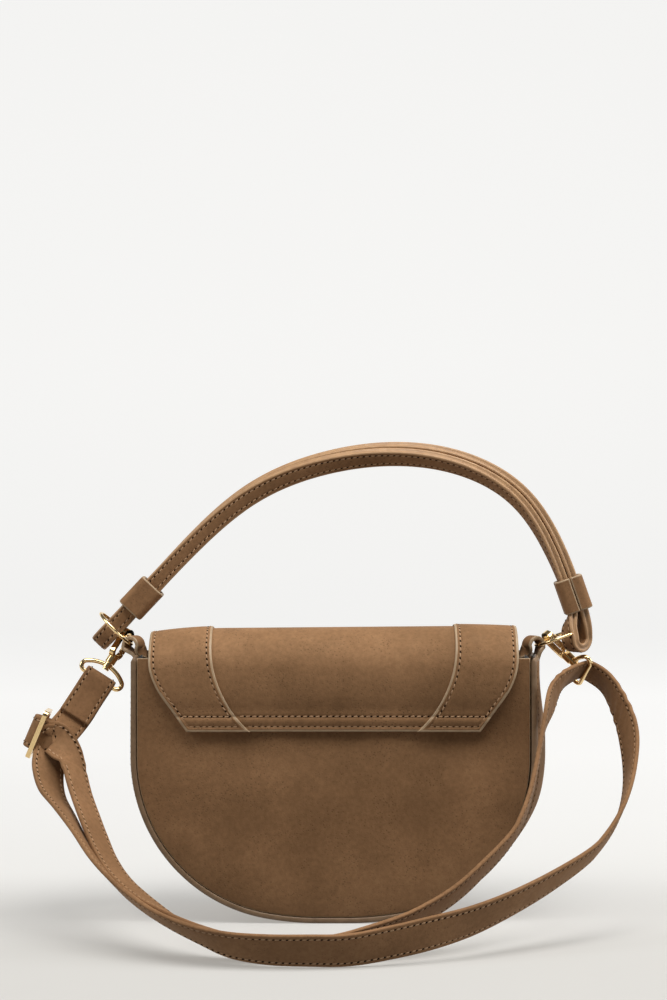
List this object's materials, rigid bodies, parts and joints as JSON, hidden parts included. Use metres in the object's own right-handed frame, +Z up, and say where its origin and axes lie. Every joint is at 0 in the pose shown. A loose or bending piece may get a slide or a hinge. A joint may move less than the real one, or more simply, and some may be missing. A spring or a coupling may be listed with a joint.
{
  "type": "saddle handbag",
  "caption": "Small rounded saddle handbag with a fold-over flap, looped top handle, metal rings, swivel snap hooks and an adjustable shoulder strap.",
  "frame": {"origin": "middle of the flat foot under the bag, on the floor", "axes": "+X along the bag's width, to the right as seen from the back; +Y through the depth, from the back to the front; +Z up"},
  "size_m": [0.3519, 0.2054, 0.2721],
  "materials": {
    "leather_body": "matte nubuck-like, fine dark pores",
    "leather_strap": "matte, stitched, pale painted edges",
    "lining": "matte black",
    "gold_metal": "polished pale gold plating"
  },
  "bodies": {
    "bag": {"gusset": "leather_body", "back_panel": "leather_body", "front_panel": "leather_body", "lining": "lining", "flap_back": "leather_body", "left_overlay_back": "leather_body", "right_overlay_back": "leather_body", "left_tab": "leather_strap", "right_tab": "leather_strap", "snap_socket": "gold_metal", "strap_ring_left": "gold_metal", "strap_ring_right": "gold_metal", "shoulder_strap": "leather_strap", "slider": "gold_metal"},
    "flap_over_mouth": {"flap_top": "leather_body", "left_overlay_top": "leather_body", "right_overlay_top": "leather_body"},
    "flap_down_front": {"flap_front": "leather_body", "left_overlay_front": "leather_body", "right_overlay_front": "leather_body", "snap_stud": "gold_metal"},
    "handle": {"handle_strap": "leather_strap", "keeper_left": "leather_strap", "keeper_right": "leather_strap"},
    "ring_left": {"o_ring_left": "gold_metal"},
    "ring_right": {"o_ring_right": "gold_metal"},
    "snap_hook_left": {"hook_left": "gold_metal", "gate_pin_left": "gold_metal", "swivel_post_left": "gold_metal"},
    "snap_hook_right": {"hook_right": "gold_metal", "gate_pin_right": "gold_metal", "swivel_post_right": "gold_metal"},
    "gate_left": {"hook_gate_left": "gold_metal"},
    "gate_right": {"hook_gate_right": "gold_metal"}
  },
  "joints": [
    {"name": "flap_crease", "type": "hinge", "parent": "bag", "child": "flap_over_mouth", "pos_m": [0, -0.03388, 0.16293], "axis": [1, 0, 0], "range_deg": [0, 10]},
    {"name": "flap_lift", "type": "hinge", "parent": "flap_over_mouth", "child": "flap_down_front", "pos_m": [0, 0.03828, 0.16293], "axis": [1, 0, 0], "range_deg": [0, 110]},
    {"name": "handle_swing", "type": "hinge", "parent": "bag", "child": "handle", "pos_m": [0, 0.004, 0.161], "axis": [1, 0, 0], "range_deg": [-14, 4]},
    {"name": "ring_left_swing", "type": "hinge", "parent": "bag", "child": "ring_left", "pos_m": [-0.11655, 0, 0.15482], "axis": [0, 1, 0], "range_deg": [-6, 6]},
    {"name": "ring_right_swing", "type": "hinge", "parent": "bag", "child": "ring_right", "pos_m": [0.11688, 0, 0.15429], "axis": [0, 1, 0], "range_deg": [-2, 6]},
    {"name": "hook_left_swivel", "type": "hinge", "parent": "bag", "child": "snap_hook_left", "pos_m": [-0.13089, 0.00515, 0.14191], "axis": [0.5186, 0.2493, 0.8178], "range_deg": [-15, 15]},
    {"name": "hook_right_swivel", "type": "hinge", "parent": "bag", "child": "snap_hook_right", "pos_m": [0.13945, 0.00596, 0.1438], "axis": [-0.6796, 0.2998, 0.6696], "range_deg": [-15, 15]},
    {"name": "gate_left_press", "type": "hinge", "parent": "snap_hook_left", "child": "gate_left", "pos_m": [-0.12489, 0.01097, 0.14684], "axis": [0.7835, -0.5215, -0.3379], "range_deg": [0, 22], "stiffness_Nm_per_rad": 0.02},
    {"name": "gate_right_press", "type": "hinge", "parent": "snap_hook_right", "child": "gate_right", "pos_m": [0.13396, 0.00459, 0.15169], "axis": [-0.7294, -0.3736, -0.5731], "range_deg": [0, 22], "stiffness_Nm_per_rad": 0.02}
  ]
}
